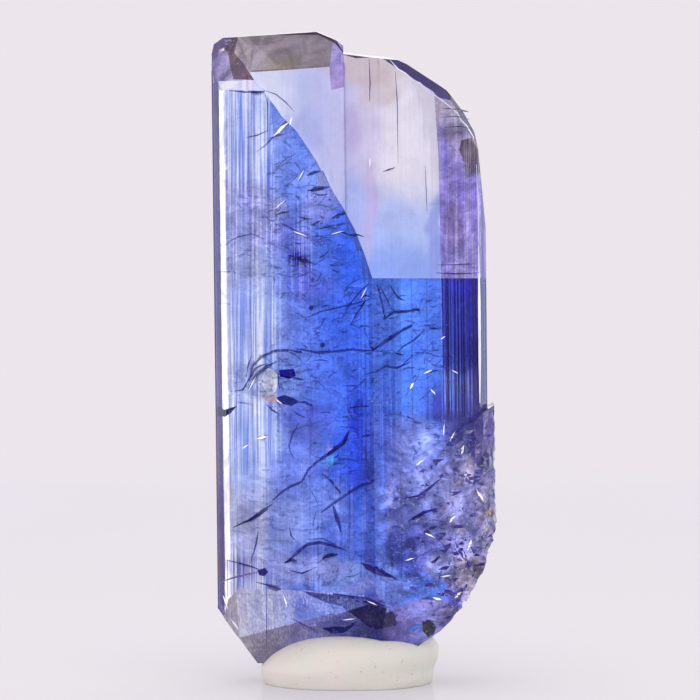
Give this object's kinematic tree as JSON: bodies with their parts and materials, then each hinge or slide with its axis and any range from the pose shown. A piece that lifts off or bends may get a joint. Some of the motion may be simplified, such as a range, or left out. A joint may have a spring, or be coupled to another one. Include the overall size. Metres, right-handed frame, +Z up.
{
  "type": "double terminated tanzanite crystal",
  "caption": "Blue-violet tanzanite crystal, striated along its length and faceted at both ends, standing upright with its lower end pressed into a pad of white mounting putty.",
  "frame": {"origin": "on the resting surface, under the middle of the whole object's bounding box", "axes": "+Z up along the crystal's length, +Y away from the viewer through the crystal's thinnest direction, +X to the viewer's right across its width"},
  "size_m": [0.0137, 0.0074, 0.0313],
  "materials": {
    "tanzanite": "clear to cloudy violet-blue crystal, polished growth faces with fine lengthwise striations, frosty low on the right",
    "mounting_putty": "soft hand-pressed putty, matte"
  },
  "bodies": {
    "root": {"tanzanite_crystal": "tanzanite", "putty_pad": "mounting_putty"}
  },
  "joints": []
}
